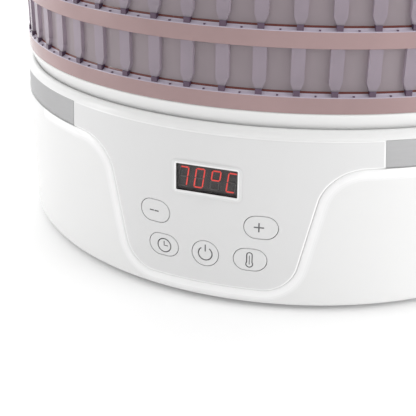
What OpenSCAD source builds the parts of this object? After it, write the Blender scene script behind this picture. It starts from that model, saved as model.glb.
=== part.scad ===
// Round food dehydrator: a fan and heater base with a control panel, a stack of nesting trays and a lid.
// The origin is on the table under the centre of the base, +Z is up and the control panel faces -Y.

/* [Base] */
// Radius of the base at its shoulder
shoulder_r = 168.4; // [162:0.2:174]
// How much narrower the base's wall is at its foot
draft = 0.8; // [0.4:0.1:1.4]
// Rounding of the base's lower edge
foot_round = 4.5; // [3:0.5:6]
// Height of the lower edge of the silver band
band_z = 78.5; // [77:0.5:80]
// Height of the seam under the white rim
shoulder_z = 92.8; // [92:0.2:94]
// Height of the collar that carries the trays
collar_z = 105; // [104:0.5:108]
// Wall thickness of the mouldings
wall = 2.5; // [2.2:0.1:2.8]

/* [Trays] */
// Number of trays
tray_count = 5; // [1:1:8]
// Height that each tray adds to the stack
tray_pitch = 30; // [26:1:36]
// Ribs round each tray's wall
rib_count = 60; // [36:12:60]
// Spokes in each tray's floor
spoke_count = 24; // [12:4:24]
// Rings in each tray's floor
ring_count = 7; // [3:1:8]

/* [Controls] */
// Width of a pill-shaped key
key_w = 16.6; // [15:0.2:18]
// Height of a pill-shaped key
key_h = 12; // [10:0.5:13]
// Diameter of the power key
power_d = 14; // [12:0.2:15]
// Travel of a key
key_travel = 0.6; // [0.3:0.1:0.6]
// Width of the display window
window_w = 31.6; // [28:0.2:33]
// Height of the display window
window_h = 13.9; // [12:0.1:15]

/* [Fan and heater] */
// Radius of the fan
fan_r = 52; // [44:1:54]
// Number of fan blades
blade_count = 7; // [5:1:9]
// Turns of heating wire, counted outwards
heater_rings = 4; // [3:1:4]

/* [Hidden] */
$fn = 96;
gap = 0.2;
foot_h = 2.3;
base_r = shoulder_r - 3.4;

// Case screws, as angles round the base from the front
boss_angles = [40, 90, 145, 215, 270, 320];
boss_ring_r = base_r - 11;
foot_angles = [45, 135, 225, 315];
foot_ring_r = 135;
foot_r = 9;
screw_r = 1.5;
pilot_r = 1.55;

// Bottom plate
plate_z = 4;
plate_h = 2.5;
plate_top = plate_z + plate_h;
lip_in_r = shoulder_r - draft - foot_round;
plate_r = lip_in_r - 0.6;

// Control panel: a skin set a little into the base's wall, with wings that run into the band
panel_inset = 0.7;
panel_in_r = shoulder_r - 3.4;
panel_low_z = 10.9;
panel_corner_r = 18;
panel_corner_x = 28.6;
panel_lean = 11.85;
wing_fillet_r = 22;
wing_x = 82.4;
wing_top_x = 81.3;
recess_r = panel_in_r - 0.3;

// Silver band, flush with the panel's wings
band_t = 1.2;
band_out_r = shoulder_r - panel_inset;
band_in_r = band_out_r - band_t;

// Keys: name, x, z, width, height
row_low = 27.9;
row_high = 46.1;
KEYS = [
    ["key_minus", -27.9, row_high, key_w, key_h],
    ["key_plus", 27.9, row_high, key_w, key_h],
    ["key_timer", -23.1, row_low, key_w, key_h],
    ["key_power", 0, row_low, power_d, power_d],
    ["key_temperature", 23.1, row_low, key_w, key_h]
];
key_gap = 0.3;
pcb_y = -150;
pcb_t = 1.6;
pcb_front = pcb_y - pcb_t;
switch_h = 3.5;
stem_h = 1.4;
plunger_y = pcb_front - switch_h - stem_h - key_travel - 0.1;
window_z = 67.5;
lens_t = 1.2;
lens_y = -panel_in_r - 1.5;
led_y = lens_y + lens_t + 0.1;
segment_t = 0.3;

// Deck and collar of the top cover
collar_r = base_r + 1.5;
rim_r = base_r + 0.2;
rim_h = 4.3;
crease_r = base_r - 2.6;
crease_z = 96.4;
tongue_r = base_r - 0.9;
lip_r = collar_r - 2.6;
lip_t = 2;
lip_z = collar_z + 5;
deck_z = 92.5;
deck_t = 2.5;
deck_under = deck_z - 2 * deck_t;
deck_hole_r = 56;
grille_r = 65;

// Motor, from the bottom plate upwards
motor_x = 26;
damper_z = 14;
damper_h = 3;
low_bracket_z = damper_z + damper_h;
bracket_t = 1.5;
core_z = 27;
core_h = 18;
high_bracket_z = 53;
bush_r = 5;
shaft_r = 2;
bush_bore_r = shaft_r + 0.05;
rotor_r = 12.6;
core_bore_r = 13;
bar_y0 = 36;
bar_y1 = 46;
coil_t = 11;
fan_z = 61;
fan_h = 13;
hub_r = 9;

// Heater
heater_z = 83;
heater_wire_r = 1.6;
shield_r = 57;
mica_t = 0.8;

// Power board
board_x = -100;
board_y = 35;
board_z = 14;
board_size = 60;
board_t = 1.6;
board_top = board_z + board_t;
board_post = 25;

// Cord inlet at the back
inlet_z = 20;
inlet_bore_r = 3.6;
inlet_body_r = 7;
clamp_y = 122;

// Trays, in each tray's own height. The floor's grid lies on the ledge inside the wall
skirt_r = collar_r;
skirt_in_r = collar_r - 2.1;
skirt_h = 7.7;
shelf_h = 1.4;
ledge_z = 5.5;
ledge_t = 1;
ledge_w = 3;
floor_z = ledge_z + ledge_t + 0.1;
floor_t = 1.8;
tray_wall_r = skirt_in_r - 0.8;
tray_wall_t = 2;
nest_h = 5;
rib_r = collar_r - 0.9;
rib_foot_w = 3.1;
rib_foot_z = skirt_h + 2.8;
rib_w = 6.2;
rib_flare_z = skirt_h + 6.5;
floor_ring_w = 2.4;
floor_hub_r = 18;
floor_hole_r = 12;

// Lid
lid_h = 17;
lid_t = 2.2;
vent_count = 24;

TRAYS = [for (i = [1:tray_count]) str("tray_", i)];
FEET = [for (i = [1:len(foot_angles)]) str("foot_", i)];

// Outer radius of the base's wall at a height
function body_r(z) = shoulder_r - draft * (shoulder_z - z) / (shoulder_z - foot_h - foot_round);

// Points of an arc round [x, z]
function arc(x, z, r, from, to, steps = 8) =
    [for (i = [0:steps]) let (a = from + (to - from) * i / steps) [x + r * cos(a), z + r * sin(a)]];

// Place at an angle from the front
function at(angle, r) = [r * sin(angle), -r * cos(angle)];

// Half outline of the control panel in x and z, grown by d: corner, leaning side, fillet and wing
function panel_half(d) =
    let (low = arc(panel_corner_x, panel_low_z + panel_corner_r, panel_corner_r + d, -90, -panel_lean),
         foot = panel_low_z + panel_corner_r - panel_corner_r * sin(panel_lean),
         side = panel_corner_x + panel_corner_r * cos(panel_lean),
         fillet_z = band_z - 0.3 - wing_fillet_r,
         start_z = fillet_z + wing_fillet_r * sin(panel_lean),
         fillet_x = side + (start_z - foot) * tan(panel_lean) + wing_fillet_r * cos(panel_lean),
         high = arc(fillet_x, fillet_z, wing_fillet_r - d, 180 - panel_lean, 90))
    concat(low, high, [[wing_x + d, band_z - 0.3 - d], [wing_top_x + d, shoulder_z - gap + d]]);

// Block behind and through the control panel's outline, grown by d
module panel_block(d) {
    half = panel_half(d);
    other = [for (i = [len(half) - 1:-1:0]) [-half[i][0], half[i][1]]];
    rotate([90, 0, 0])
        translate([0, 0, base_r - 45])
            linear_extrude(60)
                polygon(concat(half, other));
}

// Curved skin of the control panel and its keys, in to radius r
module skin(r, z0, z1) {
    rotate_extrude()
        polygon([[r, z0], [body_r(z0) - panel_inset, z0], [body_r(z1) - panel_inset, z1], [r, z1]]);
}

// Pill or round outline
module pill(w, h) {
    if (w <= h) circle(r = h / 2);
    else {
        square([w - h, h], center = true);
        for (s = [-1, 1]) translate([s * (w - h) / 2, 0]) circle(r = h / 2);
    }
}

// Prism along Y from y0 to y1, standing on a 2D shape drawn in x and z
module along_y(y0, y1) {
    translate([0, y1, 0]) rotate([90, 0, 0]) linear_extrude(y1 - y0) children();
}

// Ring with square edges
module ring(r_out, r_in, z, h) {
    translate([0, 0, z])
        difference() {
            cylinder(r = r_out, h = h);
            translate([0, 0, -1]) cylinder(r = r_in, h = h + 2);
        }
}

// Upright pan-head screw with its head's underside at z, shank downwards
module screw(z, depth, head_r = 2.8, head_h = 2) {
    translate([0, 0, z - depth]) cylinder(r = screw_r, h = depth);
    difference() {
        translate([0, 0, z]) cylinder(r = head_r, h = head_h);
        for (a = [0, 90])
            rotate([0, 0, a]) translate([-1.7, -0.35, z + head_h - 1]) cube([3.4, 0.7, 2]);
    }
}

// The same screw driven from below
module screw_up(z, depth) {
    translate([0, 0, 2 * z]) mirror([0, 0, 1]) screw(z, depth);
}

// Lead through a list of points, with its pieces overlapping at the bends
module wire(points, r) {
    for (i = [0:len(points) - 2]) {
        d = points[i + 1] - points[i];
        translate(points[i] - d / norm(d) * r * 0.6)
            rotate([0, acos(d[2] / norm(d)), atan2(d[1], d[0])])
                cylinder(r = r, h = norm(d) + 1.2 * r, $fn = 8);
    }
}

// Lower housing: a flared tube with a flange for the bottom plate and a seat for the silver band
module body_shell() {
    seat_r = band_in_r - 0.15;
    top = shoulder_z - gap;
    low_z = foot_h + foot_round;
    out = concat(arc(lip_in_r, low_z, foot_round, -90, 0), [[body_r(band_z), band_z]]);
    in = [[seat_r - 2, top], [seat_r - 2, band_z - 3], [body_r(12) - wall, 12], [body_r(12) - wall, 9],
          [boss_ring_r - 6, 9], [boss_ring_r - 6, plate_top], [lip_in_r, plate_top]];
    color("white")
        difference() {
            union() {
                rotate_extrude() polygon(concat(out, [[seat_r, band_z], [seat_r, top]], in));
                intersection() {
                    ring(base_r + 1.5, recess_r - 4, low_z - 1, band_z - low_z + 1);
                    panel_block(3);
                }
            }
            intersection() {
                ring(base_r + 20, recess_r, 0, shoulder_z + 20);
                panel_block(gap);
            }
            translate([-45, -base_r - 10, 17]) cube([90, 30, 68]);
            for (a = boss_angles)
                translate([at(a, boss_ring_r)[0], at(a, boss_ring_r)[1], 0]) cylinder(r = pilot_r, h = 20);
            translate([0, base_r - 20, inlet_z])
                rotate([-90, 0, 0]) cylinder(r = inlet_body_r + 0.1, h = 40);
        }
}

// Bottom cover: air inlet slots under the fan, posts for the motor, the power board and the cord clamp
module bottom_plate() {
    color("gainsboro")
        difference() {
            union() {
                translate([0, 0, plate_z]) cylinder(r = plate_r, h = plate_h);
                for (s = [-1, 1]) {
                    translate([s * motor_x, 0, plate_top - 0.5])
                        cylinder(r = 5, h = damper_z - plate_top + 0.5);
                    translate([s * 11, clamp_y, plate_top - 0.5])
                        cylinder(r = 4, h = inlet_z - plate_top + 0.3);
                    for (t = [-1, 1])
                        translate([board_x + s * board_post, board_y + t * board_post, plate_top - 0.5])
                            cylinder(r = 3.5, h = board_z - plate_top + 0.5);
                }
            }
            for (i = [0:23])
                rotate([0, 0, i * 15]) translate([40, -2, plate_z - 1]) cube([32, 4, plate_h + 2]);
            for (a = boss_angles)
                translate([at(a, boss_ring_r)[0], at(a, boss_ring_r)[1], 0]) cylinder(r = pilot_r, h = 20);
            for (a = foot_angles)
                translate([at(a, foot_ring_r)[0], at(a, foot_ring_r)[1], 0])
                    cylinder(r = foot_r + 0.1, h = 5);
            for (s = [-1, 1]) {
                translate([s * motor_x, 0, plate_z + 1]) cylinder(r = pilot_r, h = 20);
                translate([s * 11, clamp_y, plate_z + 1]) cylinder(r = pilot_r, h = 20);
                for (t = [-1, 1])
                    translate([board_x + s * board_post, board_y + t * board_post, plate_z + 1])
                        cylinder(r = pilot_r, h = 20);
            }
        }
}

module case_screws() {
    color("silver")
        for (a = boss_angles)
            translate([at(a, boss_ring_r)[0], at(a, boss_ring_r)[1], 0]) screw_up(plate_z, 16);
}

// Rubber foot: a round pad in a pocket of the bottom plate
module foot(angle) {
    color("dimgray")
        translate([at(angle, foot_ring_r)[0], at(angle, foot_ring_r)[1], 0])
            rotate_extrude()
                polygon([[0, 0], [foot_r - 1, 0], [foot_r, 1], [foot_r, 4.9], [0, 4.9]]);
}

// Silver trim band that ends at the control panel's wings
module silver_band() {
    color("silver")
        difference() {
            rotate_extrude()
                polygon([[band_in_r, band_z + 0.1], [body_r(band_z) - panel_inset, band_z + 0.1],
                         [band_out_r, shoulder_z - gap], [band_in_r, shoulder_z - gap]]);
            panel_block(gap);
        }
}

// Upper housing: rounded rim, collar with a locating lip for the first tray, deck and screw bosses
module top_cover() {
    rim = [for (a = [0:18:108]) [rim_r + (shoulder_r - rim_r) * cos(a), shoulder_z + rim_h * sin(a)]];
    cove = [[crease_r, crease_z], [crease_r + 0.45, crease_z + 0.7], [collar_r - 0.6, collar_z - 2.2],
            [collar_r, collar_z - 0.8]];
    color("white")
        difference() {
            union() {
                rotate_extrude()
                    polygon(concat(rim, cove,
                        [[collar_r, collar_z], [lip_r, collar_z],
                         [lip_r, lip_z - 0.6], [lip_r - 0.6, lip_z],
                         [lip_r - lip_t, lip_z], [lip_r - lip_t, collar_z - 2],
                         [base_r - 15, deck_z], [grille_r + 0.5, deck_z], [grille_r + 0.5, deck_z - deck_t],
                         [deck_hole_r, deck_z - deck_t], [deck_hole_r, deck_under],
                         [base_r - 14, deck_under], [tongue_r - 5, crease_z], [tongue_r - 2, 86],
                         [tongue_r, 86], [tongue_r, shoulder_z]]));
                for (a = boss_angles)
                    translate([at(a, boss_ring_r)[0], at(a, boss_ring_r)[1], 9])
                        cylinder(r = 4.5, h = deck_z - 9);
            }
            for (a = boss_angles)
                translate([at(a, boss_ring_r)[0], at(a, boss_ring_r)[1], 8]) cylinder(r = pilot_r, h = 14);
            for (a = [30, 150, 270])
                translate([at(a, 61)[0], at(a, 61)[1], deck_under - 1]) cylinder(r = pilot_r, h = 10);
            translate([78, 0, deck_under - 1]) cylinder(r = 4.2, h = 10);
        }
}

// Air outlet grille in the middle of the deck
module air_grille() {
    color("gainsboro")
        translate([0, 0, deck_z - deck_t])
            linear_extrude(deck_t - 0.1)
                difference() {
                    union() {
                        difference() { circle(r = grille_r); circle(r = 55); }
                        for (r = [14, 24, 34, 44])
                            difference() { circle(r = r + 1.5); circle(r = r - 1.5); }
                        circle(r = 7);
                        for (i = [0:11]) rotate(i * 30) translate([0, -1.5]) square([57, 3]);
                    }
                    for (a = [30, 150, 270]) translate(at(a, 61)) circle(r = pilot_r);
                }
}

module grille_screws() {
    color("silver")
        for (a = [30, 150, 270])
            translate([at(a, 61)[0], at(a, 61)[1], 0]) screw(deck_z - 0.1, 6);
}

// Curved fascia with key holes, display window and four posts for the control board
module control_panel() {
    color("whitesmoke")
        difference() {
            union() {
                intersection() {
                    skin(panel_in_r, foot_h, shoulder_z);
                    panel_block(0);
                }
                for (s = [-1, 1], z = [22.5, 80])
                    translate([s * 38, 0, z]) rotate([90, 0, 0])
                        translate([0, 0, -pcb_front])
                            cylinder(r = 3, h = panel_in_r * cos(13.4) + pcb_front + 0.6);
            }
            for (k = KEYS)
                along_y(-base_r - 20, -base_r + 12)
                    translate([k[1], k[2]]) pill(k[3] + 2 * key_gap, k[4] + 2 * key_gap);
            along_y(-base_r - 20, -base_r + 12)
                translate([0, window_z]) square([window_w, window_h], center = true);
            for (s = [-1, 1], z = [22.5, 80])
                along_y(pcb_front - 6, pcb_front + 5) translate([s * 38, z]) circle(r = pilot_r);
        }
}

module display_lens() {
    color([0.2, 0.2, 0.2, 0.6])
        along_y(lens_y, lens_y + lens_t)
            translate([0, window_z]) square([window_w - 0.2, window_h - 0.2], center = true);
}

module display_module() {
    color("dimgray")
        along_y(led_y + segment_t, pcb_front)
            translate([0, window_z]) square([window_w - 0.4, window_h - 0.3], center = true);
}

// One bar of a seven-segment digit, pointed at both ends
module segment(length, t) {
    h = length / 2;
    polygon([[-h, 0], [-h + t / 2, t / 2], [h - t / 2, t / 2],
             [h, 0], [h - t / 2, -t / 2], [-h + t / 2, -t / 2]]);
}

// The chosen bars of a digit, lettered a to g from the top clockwise, slanted like the real ones
module digit(on) {
    w = 4.3;
    h = 4.9;
    t = 0.55;
    bars = [["a", 0, h, 0], ["b", w / 2, h / 2, 90], ["c", w / 2, -h / 2, 90], ["d", 0, -h, 0],
            ["e", -w / 2, -h / 2, 90], ["f", -w / 2, h / 2, 90], ["g", 0, 0, 0]];
    for (b = bars)
        if (len(search(b[0], on)) > 0)
            translate([b[1] + b[2] * tan(8), b[2]])
                rotate(b[3] - (b[3] == 90 ? 8 : 0))
                    segment(b[3] == 90 ? h - 0.35 : w - 0.35, t);
}

// Four digits at the display's pitch
module digits(shown) {
    for (i = [0:3])
        along_y(led_y, led_y + segment_t)
            translate([(i - 1.5) * 8.3, window_z]) digit(shown[i]);
}

module led_segments_lit() {
    color("red") digits(["abc", "abcdef", "abfg", "adef"]);
}

module led_segments_off() {
    color("gray") digits(["defg", "g", "cde", "bcg"]);
}

module control_board() {
    color("darkgreen")
        difference() {
            along_y(pcb_front, pcb_y) translate([0, 51]) square([84, 66], center = true);
            for (s = [-1, 1], z = [22.5, 80])
                along_y(pcb_front - 5, pcb_y + 5) translate([s * 38, z]) circle(r = pilot_r);
        }
}

// Tact switches under the keys, each a square body with a round stem
module tact_switches() {
    color("black")
        for (k = KEYS)
            translate([k[1], 0, k[2]]) {
                translate([-3, pcb_front - switch_h, -3]) cube([6, switch_h, 6]);
                rotate([90, 0, 0]) translate([0, 0, -pcb_front + switch_h - 0.2])
                    cylinder(r = 1.7, h = stem_h + 0.2);
            }
}

// Screws of the two boards: four behind the control panel, four in the base
module board_screws() {
    color("silver") {
        for (s = [-1, 1], z = [22.5, 80])
            translate([s * 38, 0, z]) rotate([-90, 0, 0]) screw(pcb_y, 7);
        for (s = [-1, 1], t = [-1, 1])
            translate([board_x + s * board_post, board_y + t * board_post, 0]) screw(board_top, 9);
    }
}

// Key: a cap flush with the panel, a flange that keeps it in, and a plunger over its switch
module key(k) {
    reach = sqrt(pow(panel_in_r - 0.8, 2) - k[1] * k[1]) + plunger_y - 0.3;
    color("white") {
        intersection() {
            skin(panel_in_r - 1.4, foot_h, shoulder_z);
            along_y(-base_r - 20, -base_r + 12) translate([k[1], k[2]]) pill(k[3], k[4]);
        }
        intersection() {
            ring(panel_in_r - gap, panel_in_r - 1.4, 0, shoulder_z);
            along_y(-base_r - 20, -base_r + 12) translate([k[1], k[2]]) pill(k[3] + 2.2, k[4] + 2.2);
        }
        translate([k[1], 0, k[2]]) rotate([90, 0, 0])
            translate([0, 0, -plunger_y]) cylinder(r = 2, h = reach);
    }
}

// Laminated core of the shaded-pole motor
module stator_core() {
    color("slategray")
        translate([0, 0, core_z])
            linear_extrude(core_h)
                difference() {
                    translate([-31, -22]) square([62, 22 + bar_y1]);
                    translate([-19, bar_y0 - coil_t - 0.6]) square([38, coil_t + 0.6]);
                    circle(r = core_bore_r);
                    for (s = [-1, 1]) translate([s * motor_x, 0]) circle(r = screw_r + 0.2);
                }
}

// Nylon bobbin round the core's bar, with a flange at each end of the winding
module coil_bobbin() {
    mid_z = core_z + core_h / 2;
    mid_y = (bar_y0 + bar_y1) / 2;
    color("ivory")
        translate([0, mid_y, mid_z])
            difference() {
                union() {
                    cube([36, bar_y1 - bar_y0 + 2.4, core_h + 2.4], center = true);
                    for (s = [-1, 1])
                        translate([s * 17.4, 0, 0])
                            cube([1.2, bar_y1 - bar_y0 + 2 * coil_t, core_h + 2 * coil_t], center = true);
                }
                cube([40, bar_y1 - bar_y0 + 0.2, core_h + 0.2], center = true);
            }
}

module stator_coil() {
    mid_z = core_z + core_h / 2;
    mid_y = (bar_y0 + bar_y1) / 2;
    color("peru")
        translate([0, mid_y, mid_z])
            difference() {
                cube([33.4, bar_y1 - bar_y0 + 2 * coil_t - 3, core_h + 2 * coil_t - 3], center = true);
                cube([40, bar_y1 - bar_y0 + 2.5, core_h + 2.5], center = true);
            }
}

module motor_rotor() {
    color("gray") ring(rotor_r, shaft_r + 0.01, core_z - 1, core_h + 2);
}

module motor_shaft() {
    color("silver") translate([0, 0, 16]) cylinder(r = shaft_r, h = 62);
}

// Axial fan on the motor's shaft
module fan_impeller() {
    color("lightgray")
        difference() {
            intersection() {
                union() {
                    translate([0, 0, fan_z]) cylinder(r = hub_r, h = fan_h);
                    for (i = [0:blade_count - 1])
                        rotate([0, 0, i * 360 / blade_count])
                            translate([hub_r - 3, 0, fan_z + fan_h / 2])
                                rotate([28, 0, 0])
                                    translate([0, -12, -0.8]) cube([fan_r, 24, 1.6]);
                }
                translate([0, 0, fan_z]) cylinder(r = fan_r, h = fan_h);
            }
            translate([0, 0, fan_z - 1]) cylinder(r = shaft_r + 0.01, h = fan_h + 2);
        }
}

module fan_nut() {
    color("goldenrod")
        difference() {
            translate([0, 0, fan_z + fan_h]) cylinder(r = 4, h = 3, $fn = 6);
            translate([0, 0, fan_z]) cylinder(r = shaft_r + 0.01, h = 30);
        }
}

// Strip across the motor with a bush in its middle and spacers from z0 to z1 at its ends
module bracket(z, z0, z1) {
    color("lightsteelblue")
        difference() {
            union() {
                translate([0, 0, z]) linear_extrude(bracket_t) pill(2 * motor_x + 12, 14);
                for (s = [-1, 1]) translate([s * motor_x, 0, z0]) cylinder(r = 4, h = z1 - z0);
            }
            translate([0, 0, z - 5]) cylinder(r = bush_r, h = 10);
            for (s = [-1, 1])
                translate([s * motor_x, 0, z0 - 5]) cylinder(r = screw_r + 0.2, h = z1 - z0 + 20);
        }
}

module lower_bracket() { bracket(low_bracket_z, low_bracket_z, core_z); }

module upper_bracket() { bracket(high_bracket_z, core_z + core_h, high_bracket_z + bracket_t); }

// Lower bush: a blind bearing that also carries the shaft's end
module lower_bush() {
    color("darkgoldenrod")
        difference() {
            translate([0, 0, 15]) cylinder(r = bush_r, h = 6.5);
            translate([0, 0, 15.9]) cylinder(r = bush_bore_r, h = 10);
        }
}

module upper_bush() {
    color("darkgoldenrod") ring(bush_r, bush_bore_r, high_bracket_z - 2, 6);
}

module motor_dampers() {
    color("black")
        for (s = [-1, 1]) translate([s * motor_x, 0, 0]) ring(5.5, screw_r + 0.2, damper_z, damper_h);
}

module motor_screws() {
    color("silver")
        for (s = [-1, 1]) translate([s * motor_x, 0, 0]) screw(high_bracket_z + bracket_t, 46);
}

// Steel tube that guides the air past the heater, hung from the deck by its flange
module heat_shield() {
    color("lightgray")
        difference() {
            rotate_extrude()
                polygon([[shield_r, fan_z - 3], [shield_r + 0.8, fan_z - 3],
                         [shield_r + 0.8, deck_under - 1],
                         [shield_r + 12, deck_under - 1], [shield_r + 12, deck_under - 0.05],
                         [shield_r, deck_under - 0.05]]);
            for (a = [30, 150, 270])
                translate([at(a, 61)[0], at(a, 61)[1], deck_under - 3]) cylinder(r = pilot_r, h = 6);
        }
}

// Mica cross that holds the heating wire
module heater_frame() {
    color("tan")
        difference() {
            for (a = [0, 90])
                rotate([0, 0, a])
                    translate([-shield_r + 0.3, -mica_t / 2, heater_z - 4])
                        cube([2 * shield_r - 0.6, mica_t, 8]);
            heater_rings_at(heater_wire_r + 0.2);
        }
}

// Concentric rings of the coiled heating wire, as round tubes of radius r
module heater_rings_at(r) {
    for (i = [1:heater_rings])
        translate([0, 0, heater_z]) rotate_extrude() translate([10 + 10 * i, 0]) circle(r = r);
}

module heater_wire() {
    color("darkgray") heater_rings_at(heater_wire_r);
}

module thermal_cutout() {
    color("silver") {
        translate([-80, 0, deck_under - 7]) cylinder(r = 8.5, h = 6.95);
        for (s = [-1, 1]) translate([-80 + s * 4 - 0.4, -3, deck_under - 13]) cube([0.8, 6, 6.5]);
    }
}

// Sensor probe that stands through the deck
module temperature_sensor() {
    color("white") {
        translate([78, 0, deck_under - 4]) cylinder(r = 4, h = 12);
        translate([78, 0, deck_under + 8]) sphere(r = 4);
        translate([78, 0, deck_under - 4]) cylinder(r = 6, h = 3.9);
    }
}

module power_board() {
    color("darkgreen")
        difference() {
            translate([board_x - board_size / 2, board_y - board_size / 2, board_z])
                cube([board_size, board_size, board_t]);
            for (s = [-1, 1], t = [-1, 1])
                translate([board_x + s * board_post, board_y + t * board_post, 0])
                    cylinder(r = pilot_r, h = 40);
        }
}

// Box-shaped component on the power board
module component(x, y, w, d, h, name) {
    color(name) translate([board_x + x - w / 2, board_y + y - d / 2, board_top]) cube([w, d, h]);
}

module transformer() { component(-8, 12, 24, 20, 22, "goldenrod"); }

module relay() { component(12, -8, 16, 19, 15, "royalblue"); }

module film_capacitor() { component(-12, -8, 9, 18, 15, "orangered"); }

module smoothing_capacitor() {
    color("navy") translate([board_x + 12, board_y + 13, board_top]) cylinder(r = 5, h = 14);
}

module terminal_block() {
    color("forestgreen")
        difference() {
            translate([board_x - 16, board_y - 28, board_top]) cube([32, 8, 10]);
            for (i = [-1.5:1.5])
                translate([board_x + i * 7.5, board_y - 24, board_top + 4]) cylinder(r = 2, h = 10);
        }
}

// Bush that holds the mains cord in the back wall
module cord_gland() {
    color("whitesmoke")
        difference() {
            translate([0, 0, inlet_z]) rotate([-90, 0, 0]) {
                translate([0, 0, base_r - 9]) cylinder(r = inlet_body_r, h = 12);
                translate([0, 0, shoulder_r - 0.55]) cylinder(r = inlet_body_r + 2, h = 0.55);
                translate([0, 0, base_r - 3.4]) cylinder(r = inlet_body_r + 2, h = 2.9);
            }
            translate([0, 0, inlet_z]) rotate([-90, 0, 0])
                translate([0, 0, base_r - 20]) cylinder(r = inlet_bore_r, h = 40);
        }
}

// Bridge that clamps the cord inside the base
module cord_clamp() {
    color("whitesmoke")
        difference() {
            translate([-16, clamp_y - 4, inlet_z]) cube([32, 8, 7.5]);
            translate([0, clamp_y - 10, inlet_z]) rotate([-90, 0, 0]) cylinder(r = 3.9, h = 20);
            for (s = [-1, 1]) translate([s * 11, clamp_y, inlet_z - 1]) cylinder(r = pilot_r, h = 20);
        }
    color("silver") for (s = [-1, 1]) translate([s * 11, clamp_y, 0]) screw(inlet_z + 7.5, 15);
}

// Two leads from the terminal block to the cut-out and the heater
module heater_leads() {
    x0 = board_x + 0.5 * 7.5;
    y0 = board_y - 24;
    color("white") {
        wire([[x0, y0, board_top + 10.5], [x0, y0, 50], [-84, -6, 66],
              [-84, -1.5, deck_under - 14.4]], 1.1);
        wire([[x0 + 7.5, y0, board_top + 10.5], [x0 + 7.5, y0, 45], [-68, -12, 60], [-58.5, -12, 81]], 1.1);
    }
}

// Two leads from the terminal block to the motor's coil
module motor_leads() {
    x0 = board_x - 1.5 * 7.5;
    y0 = board_y - 24;
    color("blue") {
        wire([[x0, y0, board_top + 10.5], [x0, y0, 38], [-62, 30, 34], [-24, 66, 34], [-10, 66, 36],
              [-10, 56.5, 36]], 0.9);
        wire([[x0 + 7.5, y0, board_top + 10.5], [x0 + 7.5, y0, 37], [-62, 26, 33], [-24, 63, 30],
              [-10, 63, 30], [-10, 56.5, 30]], 0.9);
    }
}

// Four leads from the power board to the control board
module display_leads() {
    color("dimgray")
        for (i = [0:3])
            wire([[-88 + i * 2, board_y - 30.8, board_top - 0.8], [-88 + i * 2, -20, 20],
                  [-60 + i * 2, -110, 20], [-20 + i * 2, -140, 26], [-20 + i * 2, pcb_y + 1, 32]], 0.6);
}

// Tray: a wall with a nesting skirt, a ledge and ribs, and the grid of its floor
module tray(i) {
    wall_top = tray_pitch + nest_h;
    in_r = tray_wall_r - tray_wall_t;
    color([0.6, 0.52, 0.55, 0.5])
        translate([0, 0, collar_z + (i - 1) * tray_pitch]) {
            rotate_extrude()
                polygon([[skirt_in_r, 0], [skirt_r, 0], [skirt_r - 0.1, skirt_h],
                         [tray_wall_r, skirt_h + shelf_h],
                         [tray_wall_r, wall_top - 0.5], [tray_wall_r - 0.5, wall_top],
                         [in_r, wall_top], [in_r, ledge_z + ledge_t], [in_r - ledge_w, ledge_z + ledge_t],
                         [in_r - ledge_w, ledge_z], [skirt_in_r, ledge_z]]);
            for (k = [0:rib_count - 1])
                rotate([0, 0, k * 360 / rib_count])
                    along_y(-rib_r, 0.6 - tray_wall_r)
                        rib_outline();
            translate([0, 0, floor_z])
                linear_extrude(floor_t)
                    tray_floor(in_r - 0.1);
        }
}

// Front of a rib: a narrow foot that widens into the upright
module rib_outline() {
    half = [[rib_foot_w / 2, skirt_h + 0.3], [rib_foot_w / 2, rib_foot_z], [rib_w / 2, rib_flare_z],
            [rib_w / 2, tray_pitch]];
    polygon(concat(half, [for (i = [len(half) - 1:-1:0]) [-half[i][0], half[i][1]]]));
}

// Open pattern of a tray's floor
module tray_floor(outer) {
    step = (outer - floor_ring_w / 2 - floor_hub_r) / (ring_count + 1);
    difference() {
        union() {
            for (k = [1:ring_count + 1])
                difference() {
                    circle(r = floor_hub_r + k * step + floor_ring_w / 2);
                    circle(r = floor_hub_r + k * step - floor_ring_w / 2);
                }
            circle(r = floor_hub_r);
            for (k = [0:spoke_count - 1])
                rotate((k + 0.5) * 360 / spoke_count)
                    translate([floor_hub_r - 1, -floor_ring_w / 2])
                        square([outer - floor_hub_r, floor_ring_w]);
        }
        circle(r = floor_hole_r);
    }
}

// Lid: nesting skirt, rounded shoulder and a flat top with a ring of vents round a central grip
module lid() {
    color([0.6, 0.52, 0.55, 0.5])
        translate([0, 0, collar_z + tray_count * tray_pitch])
            difference() {
                rotate_extrude()
                    polygon(concat([[skirt_in_r, 0], [skirt_r, 0], [skirt_r - 0.3, lid_h - 11]],
                        arc(skirt_r - 10.5, lid_h - 10, 10, 10, 90, 6),
                        [[80, lid_h + 1], [22, lid_h + 1], [20, lid_h + 3], [0, lid_h + 3],
                         [0, lid_h + 3 - lid_t], [19, lid_h + 3 - lid_t], [21, lid_h + 1 - lid_t],
                         [80, lid_h + 1 - lid_t]],
                        arc(skirt_r - 10.5, lid_h - 10, 10 - lid_t, 90, 10, 6)));
                for (k = [0:vent_count - 1])
                    rotate([0, 0, k * 360 / vent_count])
                        translate([0, 0, lid_h - 5])
                            linear_extrude(10)
                                translate([45, 0]) pill(30, 4);
            }
}

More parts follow.
